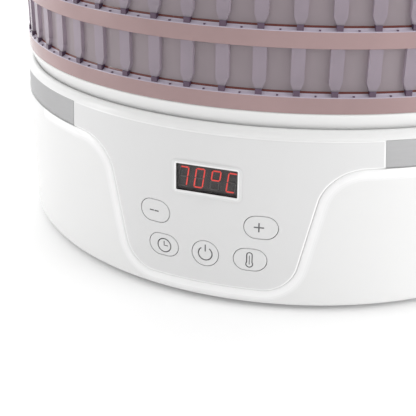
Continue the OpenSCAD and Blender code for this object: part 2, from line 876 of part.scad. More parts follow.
body_shell();
bottom_plate();
case_screws();
silver_band();
top_cover();
air_grille();
grille_screws();
control_panel();
display_lens();
display_module();
led_segments_lit();
led_segments_off();
control_board();
tact_switches();
board_screws();
for (k = KEYS) key(k);
stator_core();
coil_bobbin();
stator_coil();
motor_rotor();
motor_shaft();
fan_impeller();
fan_nut();
lower_bracket();
upper_bracket();
lower_bush();
upper_bush();
motor_dampers();
motor_screws();
heat_shield();
heater_frame();
heater_wire();
thermal_cutout();
temperature_sensor();
power_board();
transformer();
relay();
film_capacitor();
smoothing_capacitor();
terminal_block();
cord_gland();
cord_clamp();
heater_leads();
motor_leads();
display_leads();
for (i = [1:len(foot_angles)]) foot(foot_angles[i - 1]);
for (i = [1:tray_count]) tray(i);
lid();
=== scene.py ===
"""Round food dehydrator: materials, detailed outer pieces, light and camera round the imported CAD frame."""
import math

import bpy
import numpy as np
from mathutils import Matrix, Vector, geometry


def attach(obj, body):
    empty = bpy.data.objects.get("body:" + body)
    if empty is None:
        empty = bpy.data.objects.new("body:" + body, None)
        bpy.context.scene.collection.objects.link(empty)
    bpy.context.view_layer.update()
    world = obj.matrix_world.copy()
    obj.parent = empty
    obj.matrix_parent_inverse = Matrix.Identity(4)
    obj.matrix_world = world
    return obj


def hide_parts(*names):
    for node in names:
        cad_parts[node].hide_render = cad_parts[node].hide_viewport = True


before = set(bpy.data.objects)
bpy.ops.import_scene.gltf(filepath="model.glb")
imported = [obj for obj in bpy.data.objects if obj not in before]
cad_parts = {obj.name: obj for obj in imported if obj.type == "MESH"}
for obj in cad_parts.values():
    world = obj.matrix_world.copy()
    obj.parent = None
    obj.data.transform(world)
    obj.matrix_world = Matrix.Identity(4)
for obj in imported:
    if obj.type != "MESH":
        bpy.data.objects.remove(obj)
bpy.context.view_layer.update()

MM = 0.001
# Brightness of the studio overhead, and how it grows towards the back and the left
SKY, SKY_LEAN = 1.12, (-0.277, 0.633, -0.15)

# Levels and radii in millimetres, as in the CAD
SHOULDER_R, SHOULDER_Z = 168.4, 92.8
DRAFT, FOOT_H, FOOT_ROUND = 0.8, 2.3, 4.5
WALL_SLOPE = DRAFT / 84.3
BAND_Z, SEAM = 78.5, 0.2
WING_Z = BAND_Z - 0.3
RIM_R, RIM_H = 165.2, 4.3
CREASE_R, CREASE_Z = 163.1, 96.4
TONGUE_R = 164.1
COLLAR_R, COLLAR_Z = 166.5, 105.0
WALL_LOW_Z = FOOT_H + FOOT_ROUND
PANEL_INSET = 0.7
BAND_R, BAND_T = SHOULDER_R - PANEL_INSET, 1.2
TRAY_PITCH, TRAYS = 30.0, 5
WINDOW_Z, WINDOW_W, WINDOW_H = 67.5, 31.6, 13.9
KEYS = {
    "key_minus": (-27.9, 46.1, 16.6, 12.0),
    "key_plus": (27.9, 46.1, 16.6, 12.0),
    "key_timer": (-23.1, 27.9, 16.6, 12.0),
    "key_power": (0.0, 27.9, 14.0, 14.0),
    "key_temperature": (23.1, 27.9, 16.6, 12.0),
}


# ---------------------------------------------------------------- materials

class Mat:
    """A node material with a Principled shader and short ways to add detail to it."""

    def __init__(self, name, **sockets):
        self.m = bpy.data.materials.new(name)
        self.m.use_nodes = True
        self.tree = self.m.node_tree
        self.bsdf = self.tree.nodes["Principled BSDF"]
        self.out = self.tree.nodes["Material Output"]
        self.coords = self.node("ShaderNodeTexCoord")
        for key, value in sockets.items():
            self.bsdf.inputs[key.replace("_", " ")].default_value = value

    def node(self, kind, **values):
        n = self.tree.nodes.new(kind)
        for key, value in values.items():
            if hasattr(n, key):
                setattr(n, key, value)
            else:
                n.inputs[key.replace("_", " ")].default_value = value
        return n

    def link(self, a, b):
        self.tree.links.new(a, b)

    def noise(self, scale, detail=3.0, rough=0.5, stretch=None):
        n = self.node("ShaderNodeTexNoise", Scale=scale, Detail=detail, Roughness=rough)
        source = self.coords.outputs["Object"]
        if stretch:
            mapping = self.node("ShaderNodeMapping")
            mapping.inputs["Scale"].default_value = stretch
            self.link(source, mapping.inputs["Vector"])
            source = mapping.outputs["Vector"]
        self.link(source, n.inputs["Vector"])
        return n.outputs["Fac"]

    def ramp(self, fac, stops):
        r = self.node("ShaderNodeValToRGB")
        while len(r.color_ramp.elements) < len(stops):
            r.color_ramp.elements.new(0.5)
        for e, (at, colour) in zip(r.color_ramp.elements, stops):
            e.position = at
            e.color = (*colour, 1)
        self.link(fac, r.inputs["Fac"])
        return r.outputs["Color"]

    def span(self, fac, low, high):
        r = self.node("ShaderNodeMapRange")
        r.inputs["To Min"].default_value = low
        r.inputs["To Max"].default_value = high
        self.link(fac, r.inputs["Value"])
        return r.outputs["Result"]

    def colour(self, source):
        self.link(source, self.bsdf.inputs["Base Color"])
        return self

    def vary(self, base, amount, scale, stretch=None):
        """Base colour that wanders a little, as moulded or painted surfaces do."""
        dark = tuple(max(0.0, c * (1 - amount)) for c in base)
        light = tuple(min(1.0, c * (1 + amount)) for c in base)
        return self.colour(self.ramp(self.noise(scale, 4.0, 0.6, stretch), [(0.3, dark), (0.7, light)]))

    def paint_crease_shade(self, reach):
        """Paint shade into the colour in narrow places such as creases, gaps and recesses, up to a reach in
        metres.
        """
        open_sky = self.node("ShaderNodeAmbientOcclusion", samples=6, Distance=reach)
        self.link(self.bsdf.inputs["Base Color"].links[0].from_socket, open_sky.inputs["Color"])
        mix = self.node("ShaderNodeMix", data_type="RGBA")
        mix.inputs[0].default_value = CREASE_SHARE
        self.link(self.bsdf.inputs["Base Color"].links[0].from_socket, mix.inputs[6])
        self.link(open_sky.outputs["Color"], mix.inputs[7])
        return self.colour(mix.outputs[2])

    def roughness(self, low, high, scale, stretch=None):
        self.link(self.span(self.noise(scale, 3.0, 0.6, stretch), low, high), self.bsdf.inputs["Roughness"])
        return self

    def bump(self, scale, distance, strength=0.3, stretch=None):
        b = self.node("ShaderNodeBump", Strength=strength, Distance=distance)
        self.link(self.noise(scale, 2.0, 0.5, stretch), b.inputs["Height"])
        if self.bsdf.inputs["Normal"].is_linked:
            self.link(self.bsdf.inputs["Normal"].links[0].from_socket, b.inputs["Normal"])
        self.link(b.outputs["Normal"], self.bsdf.inputs["Normal"])
        return self


def plastic(name, base, rough, grain=0.00002, coat=0.0, amount=0.015, drift=0.18, crease=0.0):
    """Moulded plastic: a slight drift in colour and gloss, a fine grain, and painted shade in creases."""
    made = Mat(name, Coat_Weight=coat, Coat_Roughness=0.12, IOR=1.49)
    made.vary(base, amount, 9.0).roughness(rough * (1 - drift), rough * (1 + drift), 60.0)
    # crease is the reach of the painted shade in narrow places; zero leaves it out
    if crease:
        made.paint_crease_shade(crease)
    return made.bump(1400.0, grain, 0.25).m


def metal(name, base, rough, stretch=None, amount=0.06, metallic=1.0):
    made = Mat(name, Metallic=metallic)
    made.vary(base, amount, 120.0, stretch).roughness(rough * 0.8, rough * 1.25, 300.0, stretch)
    return made.bump(900.0, 0.00003, 0.2, stretch=stretch).m


def brushed(name, base, rough):
    """Metallic paint brushed round the object, which spreads reflections up and down."""
    made = Mat(name, Metallic=1.0, Anisotropic=0.85)
    around = made.node("ShaderNodeTangent", direction_type="RADIAL", axis="Z")
    made.link(around.outputs["Tangent"], made.bsdf.inputs["Tangent"])
    made.vary(base, 0.02, 120.0, (1, 1, 8)).roughness(rough * 0.9, rough * 1.1, 300.0, (1, 1, 8))
    return made.bump(900.0, 0.00001, 0.2, stretch=(1, 1, 8)).m


def tinted(name, through, surface, opaque):
    """Thin smoky plastic: a tinted see-through layer under a glossy skin."""
    made = Mat(name, Roughness=0.12, IOR=1.49)
    made.vary(surface, 0.08, 14.0).roughness(0.08, 0.2, 40.0).bump(300.0, 0.00003, 0.15)
    clear = made.node("ShaderNodeBsdfTransparent", Color=(*through, 1))
    edge = made.node("ShaderNodeLayerWeight", Blend=0.35)
    mix = made.node("ShaderNodeMixShader")
    made.link(made.span(edge.outputs["Facing"], opaque, min(1.0, opaque + 0.35)), mix.inputs["Fac"])
    made.link(clear.outputs["BSDF"], mix.inputs[1])
    made.link(made.bsdf.outputs["BSDF"], mix.inputs[2])
    made.link(mix.outputs["Shader"], made.out.inputs["Surface"])
    return made.m


def glowing(name, base, colour, strength):
    made = Mat(name, Roughness=0.4, Emission_Strength=strength)
    made.bsdf.inputs["Emission Color"].default_value = (*colour, 1)
    return made.vary(base, 0.05, 500.0).m


def board(name):
    """Solder mask with copper tracks that show through as lighter lines."""
    made = Mat(name, Roughness=0.35, Coat_Weight=0.4)
    grid = made.node("ShaderNodeTexBrick", Scale=90.0)
    grid.inputs["Color1"].default_value = (0.015, 0.13, 0.05, 1)
    grid.inputs["Color2"].default_value = (0.02, 0.16, 0.06, 1)
    grid.inputs["Mortar"].default_value = (0.05, 0.26, 0.1, 1)
    made.link(made.coords.outputs["Object"], grid.inputs["Vector"])
    return made.colour(grid.outputs["Color"]).roughness(0.3, 0.45, 200.0).bump(700.0, 0.00005, 0.2).m


# Share of the shading in narrow places that goes into the plastics' colour
CREASE_SHARE = 0.16
# White and panel plastics take painted shade in creases, gaps and recesses within 3 mm
WHITE = plastic("white_gloss", (0.84, 0.84, 0.836), 0.3, 0.000008, coat=0.25, amount=0.004, drift=0.03,
                crease=0.003)
PANEL = plastic("panel_satin", (0.775, 0.775, 0.775), 0.36, 0.00001, coat=0.1, amount=0.006, drift=0.05,
                crease=0.003)
# Lighter plastic that paints a highlight along the panel's edges and round the display window
EDGE_HIGHLIGHT_PAINT = plastic("painted_edge_highlight", (0.96, 0.96, 0.96), 0.15, 0.000005, coat=0.6, amount=0.004, drift=0.03)
# Lighter plastics that paint a highlight on the wall's roll into the panel's recess, brightest beside the
# panel
ROLL_HIGHLIGHT_PAINTS = [plastic(f"painted_roll_highlight_{i}", (c, c, c), 0.3, 0.000008, coat=0.25, amount=0.004, drift=0.03)
        for i, c in enumerate((0.99, 0.93, 0.88))]
GREY = plastic("grey_matte", (0.42, 0.42, 0.43), 0.5, 0.00004)
SILVER = brushed("silver_paint", (0.46, 0.46, 0.465), 0.35)
TINT = tinted("smoky_clear", (0.86, 0.79, 0.81), (0.52, 0.45, 0.48), 0.45)
TINT_BAND = tinted("smoky_skirt", (0.66, 0.52, 0.525), (0.46, 0.315, 0.315), 0.78)
TINT_DEEP = tinted("smoky_floor", (0.62, 0.5, 0.56), (0.42, 0.33, 0.38), 0.8)
TRAY_LOOKS = [TINT, TINT_BAND, TINT_DEEP, tinted("rib_foot", (0.2, 0.12, 0.2), (0.10, 0.06, 0.10), 0.95),
              # The ledge's lighter look paints a highlight on its sloping top
              tinted("ledge_painted_highlight", (0.85, 0.8, 0.88), (0.60, 0.54, 0.64), 0.85),
              tinted("ledge_root", (0.3, 0.08, 0.08), (0.15, 0.04, 0.035), 0.92),
              tinted("rib_side", (0.88, 0.82, 0.88), (0.50, 0.44, 0.50), 0.45)]
PRINT = plastic("printed_grey", (0.115, 0.115, 0.12), 0.45)
BLACK = plastic("black_matte", (0.045, 0.045, 0.045), 0.45)
DISPLAY = plastic("display_face", (0.155, 0.155, 0.157), 0.4)
NYLON = plastic("nylon", (0.78, 0.75, 0.67), 0.5)
MICA = plastic("mica", (0.6, 0.52, 0.42), 0.6, 0.0001, amount=0.15)
ZINC = metal("zinc_sheet", (0.62, 0.63, 0.65), 0.32, (1, 1, 8))
SCREW = metal("screw_zinc", (0.55, 0.55, 0.57), 0.3)
CORE = metal("core_laminations", (0.22, 0.23, 0.25), 0.5, (1, 1, 60))
SHAFT = metal("ground_shaft", (0.75, 0.75, 0.76), 0.15)
BRONZE = metal("sintered_bronze", (0.6, 0.42, 0.2), 0.4)
COPPER = metal("enamelled_wire", (0.62, 0.25, 0.1), 0.3, (60, 1, 1), 0.3, 0.7)
WIRE = metal("heating_wire", (0.4, 0.39, 0.38), 0.4, amount=0.25)
RUBBER = plastic("rubber", (0.06, 0.06, 0.06), 0.75, 0.00006, amount=0.1)

CAD_LOOKS = {
    "bottom_plate": GREY, "case_screws": SCREW, "air_grille": GREY, "grille_screws": SCREW,
    "display_module": DISPLAY, "control_board": board("circuit_board"), "tact_switches": BLACK,
    "board_screws": SCREW, "stator_core": CORE, "coil_bobbin": NYLON, "stator_coil": COPPER,
    "motor_rotor": CORE, "motor_shaft": SHAFT, "fan_impeller": GREY, "fan_nut": BRONZE,
    "lower_bracket": ZINC, "upper_bracket": ZINC, "lower_bush": BRONZE, "upper_bush": BRONZE,
    "motor_dampers": RUBBER, "motor_screws": SCREW, "heat_shield": ZINC, "heater_frame": MICA,
    "heater_wire": WIRE, "thermal_cutout": ZINC, "temperature_sensor": NYLON,
    "power_board": board("power_circuit_board"), "cord_gland": WHITE, "cord_clamp": NYLON,
    "transformer": plastic("coil_tape", (0.75, 0.55, 0.08), 0.35, amount=0.08),
    "relay": plastic("relay_blue", (0.05, 0.15, 0.5), 0.3),
    "film_capacitor": plastic("dipped_orange", (0.7, 0.2, 0.05), 0.2, amount=0.08),
    "smoothing_capacitor": plastic("capacitor_sleeve", (0.02, 0.04, 0.12), 0.25),
    "terminal_block": plastic("terminal_green", (0.05, 0.35, 0.15), 0.45),
    "heater_leads": plastic("braided_sleeve", (0.8, 0.79, 0.76), 0.7, 0.0002, amount=0.1),
    "motor_leads": plastic("blue_insulation", (0.05, 0.12, 0.5), 0.4),
    "display_leads": plastic("grey_insulation", (0.35, 0.35, 0.36), 0.4),
    "led_segments_lit": glowing("led_lit", (0.5, 0.06, 0.05), (1.0, 0.10, 0.085), 0.8),
    "led_segments_off": plastic("led_unlit", (0.25, 0.247, 0.247), 0.4),
}
for n in range(1, 5):
    CAD_LOOKS[f"foot_{n}"] = RUBBER


# ---------------------------------------------------------------- mesh helpers

def add_mesh(name, verts, faces, body, mats, replaces=(), face_mats=None, normals=None, angle=35.0):
    """A piece from points in millimetres, with smooth shading and sharp edges above an angle."""
    mesh = bpy.data.meshes.new(name)
    mesh.from_pydata([tuple(c * MM for c in v) for v in verts], [], [tuple(f) for f in faces])
    mesh.validate()
    for m in mats if isinstance(mats, (list, tuple)) else [mats]:
        mesh.materials.append(m)
    if face_mats is not None:
        mesh.polygons.foreach_set("material_index", np.asarray(face_mats, np.int32))
    mesh.shade_smooth()
    if normals is not None:
        smooth = np.array([v.normal for v in mesh.vertices])
        known = ~np.isnan(normals[:, 0])
        smooth[known] = normals[known]
        mesh.normals_split_custom_set_from_vertices([tuple(x) for x in smooth])
    elif angle:
        mesh.set_sharp_from_angle(angle=math.radians(angle))
    piece = bpy.data.objects.new(name, mesh)
    bpy.context.scene.collection.objects.link(piece)
    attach(piece, body)
    if replaces:
        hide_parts(*replaces)
    return piece


def arc(cx, cz, r, start, end, steps=8, rz=None):
    rz = r if rz is None else rz
    return [(cx + r * math.cos(math.radians(start + (end - start) * i / steps)),
             cz + rz * math.sin(math.radians(start + (end - start) * i / steps))) for i in range(steps + 1)]


class Builder:
    """Collects points and faces of one piece."""

    def __init__(self):
        self.v, self.f, self.m = [], [], []

    def add(self, verts, faces, mat=0):
        base = len(self.v)
        self.v.extend(verts)
        self.f.extend([[base + i for i in f] for f in faces])
        self.m.extend([mat] * len(faces))

    def revolve(self, profile, segments=256, closed=True, start=0.0, end=360.0, mat=0):
        """Profile of (r, z) points turned about Z from start to end degrees, measured from the front."""
        full = abs(end - start) >= 360
        columns = segments if full else segments + 1
        verts = []
        for k in range(columns):
            a = math.radians(start + (end - start) * k / segments)
            s, c = math.sin(a), -math.cos(a)
            verts.extend((r * s, r * c, z) for r, z in profile)
        n = len(profile)
        faces = []
        for k in range(segments):
            a, b = k * n, ((k + 1) % columns) * n
            for i in range(n if closed else n - 1):
                j = (i + 1) % n
                faces.append([a + i, b + i, b + j, a + j])
        if closed and not full:
            faces.append(list(range(n))[::-1])
            faces.append([(columns - 1) * n + i for i in range(n)])
        self.add(verts, faces, mat)

    def bar(self, angle, r0, r1, z0, z1, w0, w1=None, mat=0):
        """Block along a radius at an angle, from r0 to r1 and z0 to z1, w0 wide at z0 and w1 at z1."""
        w1 = w0 if w1 is None else w1
        s, c = math.sin(math.radians(angle)), -math.cos(math.radians(angle))
        verts = []
        for z, w in ((z0, w0), (z1, w1)):
            for r, side in ((r0, -1), (r1, -1), (r1, 1), (r0, 1)):
                verts.append((r * s - side * w / 2 * c, r * c + side * w / 2 * s, z))
        sides = [[0, 4, 5, 1], [1, 5, 6, 2], [2, 6, 7, 3], [3, 7, 4, 0]]
        self.add(verts, [[0, 1, 2, 3], [7, 6, 5, 4]] + sides, mat)


def inside(points, loops):
    """Even-odd test of points against closed loops."""
    px, pz = points[:, 0], points[:, 1]
    hit = np.zeros(len(points), bool)
    for loop in loops:
        a = np.asarray(loop, float)
        b = np.roll(a, -1, 0)
        for (x0, z0), (x1, z1) in zip(a, b):
            if z0 == z1:
                continue
            crosses = (pz > min(z0, z1)) & (pz <= max(z0, z1))
            hit ^= crosses & (px < x0 + (pz - z0) * (x1 - x0) / (z1 - z0))
    return hit


def fill(loops, spacing, margin):
    """Triangles between closed loops in a plane, with extra points on a grid. Returns points and faces."""
    loops = [np.asarray(l, float) for l in loops]
    every = np.vstack(loops)
    xs = np.arange(every[:, 0].min() + spacing / 2, every[:, 0].max(), spacing)
    zs = np.arange(every[:, 1].min() + spacing / 2, every[:, 1].max(), spacing)
    grid = np.array([(x, z) for z in zs for x in xs])
    grid = grid[inside(grid, loops)]
    near = np.array([np.min(np.hypot(*(every - g).T)) for g in grid]) if len(grid) else np.zeros(0)
    grid = grid[near > margin]
    points = np.vstack([every, grid])
    edges, at = [], 0
    for l in loops:
        edges += [(at + i, at + (i + 1) % len(l)) for i in range(len(l))]
        at += len(l)
    got = geometry.delaunay_2d_cdt([Vector(p) for p in points], edges, [], 0, 1e-5)
    verts = np.array([tuple(p) for p in got[0]])
    faces = [list(f) for f in got[2]]
    centres = np.array([verts[f].mean(0) for f in faces])
    keep = inside(centres, loops)
    return verts, [f for f, k in zip(faces, keep) if k]


def offset(loop, d):
    """Closed loop of points moved outwards by d, to the right of its direction of travel."""
    a = np.asarray(loop, float)
    before, after = a - np.roll(a, 1, 0), np.roll(a, -1, 0) - a
    for e in (before, after):
        e /= np.maximum(np.hypot(*e.T), 1e-9)[:, None]
    normal = np.stack([before[:, 1] + after[:, 1], -before[:, 0] - after[:, 0]], 1)
    size = np.hypot(*normal.T)
    normal /= size[:, None]
    return a + normal * (d / np.maximum(size / 2, 0.35))[:, None]


def pill(cx, cz, w, h):
    """Counter-clockwise pill or circle seen from the front."""
    r, half, steps = h / 2, (w - h) / 2, 14
    right = arc(cx + half, cz, r, -90, 90, steps)
    left = arc(cx - half, cz, r, 90, 270, steps)
    if half < 1e-6:
        return right[:-1] + left[:-1]
    return right + left


def box_loop(cx, cz, w, h, r):
    """Counter-clockwise rectangle with rounded corners, seen from the front."""
    x, z, steps = w / 2 - r, h / 2 - r, 4
    loop = []
    for sx, sz, a in ((1, -1, -90), (1, 1, 0), (-1, 1, 90), (-1, -1, 180)):
        loop += arc(cx + sx * x, cz + sz * z, r, a, a + 90, steps)
    return loop


def body_r(z):
    """Radius of the wall, which leans out a little towards the top."""
    return SHOULDER_R - DRAFT * (SHOULDER_Z - z) / (SHOULDER_Z - WALL_LOW_Z)


def on_skin(x, z, depth=0.0):
    """Point of the control panel's curved skin."""
    r = body_r(z) - PANEL_INSET - depth
    return (x, -math.sqrt(max(0.0, r * r - x * x)), z)


def skin_normal(p):
    size = math.hypot(p[0], p[1])
    return (p[0] / size, p[1] / size, -WALL_SLOPE)


# ---------------------------------------------------------------- control panel outline

LEAN, CORNER_R, CORNER_X, LOW_Z = 11.85, 18.0, 28.6, 10.9
FILLET_R, WING_X, WING_TOP_X = 22.0, 82.4, 81.3


def wing_at(z):
    """Half width of the panel's wings, which lean in a little towards the top."""
    share = (z - WING_Z) / (SHOULDER_Z - SEAM - WING_Z)
    return WING_X + (WING_TOP_X - WING_X) * share


def half_outline():
    """Right half of the panel's outline from the bottom's middle to the wing's top, in x and z."""
    lean, steps = math.radians(LEAN), 20
    cz = LOW_Z + CORNER_R
    low = arc(CORNER_X, cz, CORNER_R, -90, -LEAN, steps)
    side_x, side_z = low[-1]
    fillet_z = WING_Z - FILLET_R
    start_z = fillet_z + FILLET_R * math.sin(lean)
    start_x = side_x + (start_z - side_z) * math.tan(lean)
    fillet_x = start_x + FILLET_R * math.cos(lean)
    high = arc(fillet_x, fillet_z, FILLET_R, 180 - LEAN, 90, steps)
    bottom = [(CORNER_X * i / 10, LOW_Z) for i in range(10)]
    run_x, run_z = start_x - side_x, start_z - side_z
    side = [(side_x + run_x * i / 18, side_z + run_z * i / 18) for i in range(1, 18)]
    high_x, high_z = high[-1]
    wing = [(high_x + (WING_X - high_x) * i / 4, high_z) for i in range(1, 4)]
    return bottom + low + side + high + wing


def panel_loop():
    """The panel's whole outline, counter-clockwise seen from the front."""
    half = half_outline()
    top_z = SHOULDER_Z - SEAM
    rise = [(wing_at(z), z) for z in np.linspace(WING_Z, top_z, 7)]
    top = [(WING_TOP_X * (1 - i / 40), top_z) for i in range(1, 40)]
    right = half + rise + top
    left = [(-x, z) for x, z in right[::-1] if x > 1e-6]
    return right + [(0.0, top_z)] + left


def surface_piece(name, loops, rows, spacing, body, mats, replaces, shape):
    """A skin with rounded edges: the loops' rows of (offset, depth) are joined, and the middle is filled.
    A row's third value puts the second material on the strip before it; the panel uses this for its painted
    edge highlight.
    Outer loops run counter-clockwise and holes clockwise, so an offset always points out of the material."""
    verts, faces, normals = [], [], []
    first = [offset(l, r[0][0]) for l, r in zip(loops, rows)]
    points, tris = fill(first, spacing, spacing * 0.5)
    base_depth = rows[0][0][1]
    looks = [0] * len(tris)
    for x, z in points:
        p = shape(x, z, base_depth)
        verts.append(p)
        normals.append(skin_normal(p))
    for f in tris:
        a, b, c = (points[i] for i in f)
        turn = (b[0] - a[0]) * (c[1] - a[1]) - (b[1] - a[1]) * (c[0] - a[0])
        faces.append(f if turn > 0 else f[::-1])
    at = 0
    for loop, row in zip(loops, rows):
        n = len(loop)
        last = list(range(at, at + n))
        at += n
        # Strips flagged with a third value take the painted highlight material
        for d, depth, *highlight_flag in row[1:]:
            new = [len(verts) + i for i in range(n)]
            looks += [1 if highlight_flag else 0] * n
            for x, z in offset(loop, d):
                verts.append(shape(x, z, depth))
                normals.append((float("nan"),) * 3)
            for i in range(n):
                j = (i + 1) % n
                faces.append([last[i], new[i], new[j], last[j]])
            last = new
    return add_mesh(name, verts, faces, body, mats, replaces, looks, np.array(normals))


def make_panel():
    outline = panel_loop()
    holes = [pill(x, z, w + 0.6, h + 0.6)[::-1] for x, z, w, h in KEYS.values()]
    window = box_loop(0, WINDOW_Z, WINDOW_W, WINDOW_H, 0.5)[::-1]
    # Strips marked 1 on the outline and round the window take the painted edge highlight
    edge = [(-0.8, 0.0), (-0.5, 0.03, 1), (-0.2, 0.1, 1), (-0.05, 0.22, 1), (0.0, 0.45), (0.0, 1.6)]
    hole_edge = [(-0.35, 0.0), (-0.15, 0.03), (-0.04, 0.1), (0.0, 0.25), (0.0, 1.2), (0.0, 2.2)]
    window_edge = [(-2.9, 0.0), (-2.65, 0.1), (-2.4, 0.1), (-2.1, -0.15), (-1.0, -0.2), (-0.75, -0.16, 1),
                   (-0.12, 0.1, 1), (0.0, 0.3, 1), (0.0, 2.2)]
    surface_piece("panel_skin", [outline, window] + holes, [edge, window_edge] + [hole_edge] * len(holes),
                  2.5, "base", [PANEL, EDGE_HIGHLIGHT_PAINT], ["control_panel"], on_skin)


def make_keys():
    for name, (x, z, w, h) in KEYS.items():
        edge = [(-0.5, 0.0), (-0.25, 0.04), (-0.08, 0.13), (0.0, 0.3), (0.0, 1.4), (-2.0, 1.5)]
        surface_piece(name + "_cap", [pill(x, z, w, h)], [edge], 1.6, name, PANEL,
                      [name], on_skin)


def stroke(points, width, closed=False):
    """Flat line of a width along points, as a loop of quads in x and z."""
    p = np.asarray(points, float)
    if closed:
        ahead, behind = np.roll(p, -1, 0), np.roll(p, 1, 0)
    else:
        ahead, behind = np.vstack([p[1:], p[-1:]]), np.vstack([p[:1], p[:-1]])
    t = ahead - behind
    t /= np.hypot(*t.T)[:, None]
    side = np.stack([t[:, 1], -t[:, 0]], 1) * width / 2
    n = len(p)
    quads = [[i, (i + 1) % n, n + (i + 1) % n, n + i] for i in range(n if closed else n - 1)]
    return np.vstack([p + side, p - side]), quads


def make_icon(name, key, strokes):
    """Printed sign on a key: thin raised strokes that follow its curve."""
    x0, z0 = KEYS[key][:2]
    b = Builder()
    for points, width, closed in strokes:
        flat, quads = stroke([(x0 + x, z0 + z) for x, z in points], width, closed)
        n = len(flat)
        verts = [on_skin(x, z, -0.02) for x, z in flat] + [on_skin(x, z, 0.05) for x, z in flat]
        faces = []
        for q in quads:
            a, c = np.array(flat[q[0]]), np.array(flat[q[2]])
            e = np.array(flat[q[1]])
            turn = (e[0] - a[0]) * (c[1] - a[1]) - (e[1] - a[1]) * (c[0] - a[0])
            q = q if turn > 0 else q[::-1]
            faces.append(q)
            faces.append([n + i for i in q[::-1]])
            faces += [[q[i], n + q[i], n + q[(i + 1) % 4], q[(i + 1) % 4]] for i in range(4)]
        b.add(verts, faces)
    add_mesh(name, b.v, b.f, key, PRINT, angle=30)


def circle(r, start=0, end=360, cx=0.0, cz=0.0):
    pts = arc(cx, cz, r, start, end, 28)
    return pts[:-1] if abs(end - start) >= 360 else pts


def make_icons():
    line = 0.62
    make_icon("icon_minus", "key_minus", [([(-3.2, 0), (2.0, 0)], 0.7, False)])
    make_icon("icon_plus", "key_plus",
              [([(-3.4, 0.1), (1.6, 0.1)], 0.7, False), ([(-0.9, -2.4), (-0.9, 2.6)], 0.7, False)])
    make_icon("icon_timer", "key_timer",
              [(circle(3.75, cx=0.3, cz=-0.3), line, True),
               ([(0.2, 2.1), (0.2, -0.3), (2.3, -0.3)], line, False)])
    make_icon("icon_power", "key_power",
              [(circle(3.65, 125, 415, 0.1, 0.0), line, False), ([(0.1, 1.2), (0.1, 5.0)], line, False)])
    tube = [(1.15, -1.5), (1.15, 2.7)] + arc(-0.2, 2.7, 1.35, 0, 180, 8)[1:] + [(-1.55, -1.5)]
    bulb = arc(-0.2, -2.4, 1.7, 145, 395, 16)
    make_icon("icon_temperature", "key_temperature",
              [(tube + bulb, 0.55, True), ([(-0.2, -2.6), (-0.2, 2.4)], 0.4, False)])


# ---------------------------------------------------------------- lower housing

